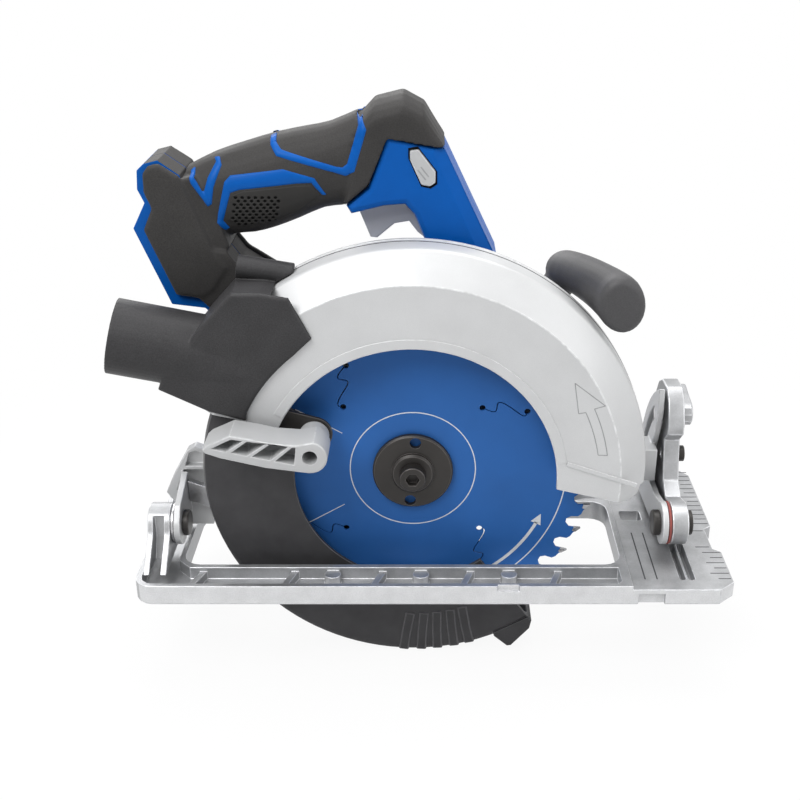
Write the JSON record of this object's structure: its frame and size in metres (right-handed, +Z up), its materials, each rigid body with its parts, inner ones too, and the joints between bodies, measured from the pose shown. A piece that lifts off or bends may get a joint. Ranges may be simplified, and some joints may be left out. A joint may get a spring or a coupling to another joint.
{
  "type": "cordless circular saw",
  "caption": "Hand-held cordless circular saw with a swinging lower guard, dust port, front handle, and a cast base that tilts and sets depth.",
  "frame": {"origin": "on the flat underside of the sole, mid-length, in the wide strip on the motor side of the blade window", "axes": "+X forward in the cut direction, +Y from the blade towards the motor, +Z up from the sole"},
  "size_m": [0.3038, 0.154, 0.2822],
  "materials": {
    "silver_paint": "satin silver paint",
    "cast_aluminium": "blasted casting",
    "aluminium": "as cast",
    "steel": "bright",
    "black_oxide": "black oxide on steel",
    "blade_blue": "satin coating",
    "guard_grey": "satin",
    "blue_plastic": "fine texture",
    "dark_plastic": "fine texture",
    "soft_grip": "matt overmould",
    "light_plastic": "satin",
    "mid_plastic": "satin",
    "red_fibre": "matt",
    "copper": "enamelled wire"
  },
  "bodies": {
    "base": {"base_shoe": "cast_aluminium", "front_upright": "cast_aluminium", "rear_upright": "cast_aluminium", "front_pivot_bolt": "black_oxide", "front_pivot_nut": "black_oxide", "front_friction_washer": "red_fibre", "rear_pivot_bolt": "black_oxide", "rear_friction_washer": "steel", "bevel_lock_bolt": "steel", "bevel_stop_screw": "black_oxide"},
    "bevel_frame": {"front_bracket": "silver_paint", "rear_bracket": "silver_paint", "depth_arc": "steel", "depth_pin": "steel"},
    "saw_body": {"guard_backplate": "silver_paint", "upper_guard": "silver_paint", "gear_housing": "silver_paint", "motor_bulkhead": "aluminium", "motor_housing": "blue_plastic", "motor_end_cap": "dark_plastic", "stator": "steel", "stator_winding": "copper", "spindle_bearing": "steel", "spindle_rear_bearing": "steel", "motor_bearing": "steel", "motor_rear_bearing": "steel", "guard_retaining_ring": "steel", "guard_spring": "steel", "handle_shell_right": "blue_plastic", "handle_shell_left": "blue_plastic", "grip_overmould": "soft_grip", "nose_overmould": "soft_grip", "dock_cover_right": "soft_grip", "dock_cover_left": "soft_grip", "terminal_block": "dark_plastic", "dust_chute": "dark_plastic", "chute_screw": "steel", "front_handle": "soft_grip", "depth_lock_bolt": "steel"},
    "blade_group": {"blade": "blade_blue", "outer_flange": "black_oxide", "inner_flange": "steel", "blade_bolt": "black_oxide", "spindle": "steel", "output_gear": "steel", "lock_disc": "steel"},
    "rotor": {"motor_shaft": "steel", "rotor_core": "steel", "cooling_fan": "dark_plastic"},
    "swing_guard": {"lower_guard": "guard_grey", "lever_arm": "black_oxide", "guard_lever": "light_plastic", "lever_screw": "black_oxide"},
    "depth_lever": {"depth_lock_lever": "dark_plastic"},
    "bevel_lever": {"bevel_lock_lever": "cast_aluminium"},
    "trigger_piece": {"trigger": "mid_plastic"},
    "lock_off": {"lock_off_button": "light_plastic"},
    "spindle_lock": {"spindle_lock_button": "dark_plastic"}
  },
  "joints": [
    {"name": "bevel_tilt", "type": "hinge", "parent": "base", "child": "bevel_frame", "pos_m": [0, -0.072, 0.026], "axis": [1, 0, 0], "range_deg": [0, 48]},
    {"name": "depth_adjust", "type": "hinge", "parent": "bevel_frame", "child": "saw_body", "pos_m": [0.089, -0.042, 0.045], "axis": [0, 1, 0], "range_deg": [-9, 16]},
    {"name": "blade_spin", "type": "hinge", "parent": "saw_body", "child": "blade_group", "pos_m": [-0.011, -0.072, 0.057], "axis": [0, -1, 0], "continuous": true},
    {"name": "rotor_spin", "type": "hinge", "parent": "saw_body", "child": "rotor", "pos_m": [-0.01569, -0.012, 0.08359], "axis": [0, -1, 0], "continuous": true},
    {"name": "lower_guard_swing", "type": "hinge", "parent": "saw_body", "child": "swing_guard", "pos_m": [-0.011, -0.072, 0.057], "axis": [0, 1, 0], "range_deg": [0, 100], "stiffness_Nm_per_rad": 0.25, "springref_deg": -51.57},
    {"name": "depth_lock", "type": "hinge", "parent": "saw_body", "child": "depth_lever", "pos_m": [-0.09024, -0.0485, 0.07019], "axis": [0, 1, 0], "range_deg": [0, 40]},
    {"name": "bevel_lock", "type": "hinge", "parent": "base", "child": "bevel_lever", "pos_m": [0.13175, -0.03472, 0.07043], "axis": [1, 0, 0], "range_deg": [0, 45]},
    {"name": "trigger_pull", "type": "hinge", "parent": "saw_body", "child": "trigger_piece", "pos_m": [-0.013, -0.036, 0.187], "axis": [0, 1, 0], "range_deg": [0, 8], "stiffness_Nm_per_rad": 0.4, "springref_deg": -5.73},
    {"name": "lock_off_press", "type": "slide", "parent": "saw_body", "child": "lock_off", "axis": [0, 1, 0], "range_m": [0, 0.004], "stiffness_N_per_m": 600, "springref_m": -0.001},
    {"name": "spindle_lock_press", "type": "slide", "parent": "saw_body", "child": "spindle_lock", "axis": [-1, 0, 0], "range_m": [0, 0.0042], "stiffness_N_per_m": 700, "springref_m": -0.001}
  ],
  "couplings": [
    {"joint": "rotor_spin", "follows": "blade_spin", "ratio": -4}
  ]
}
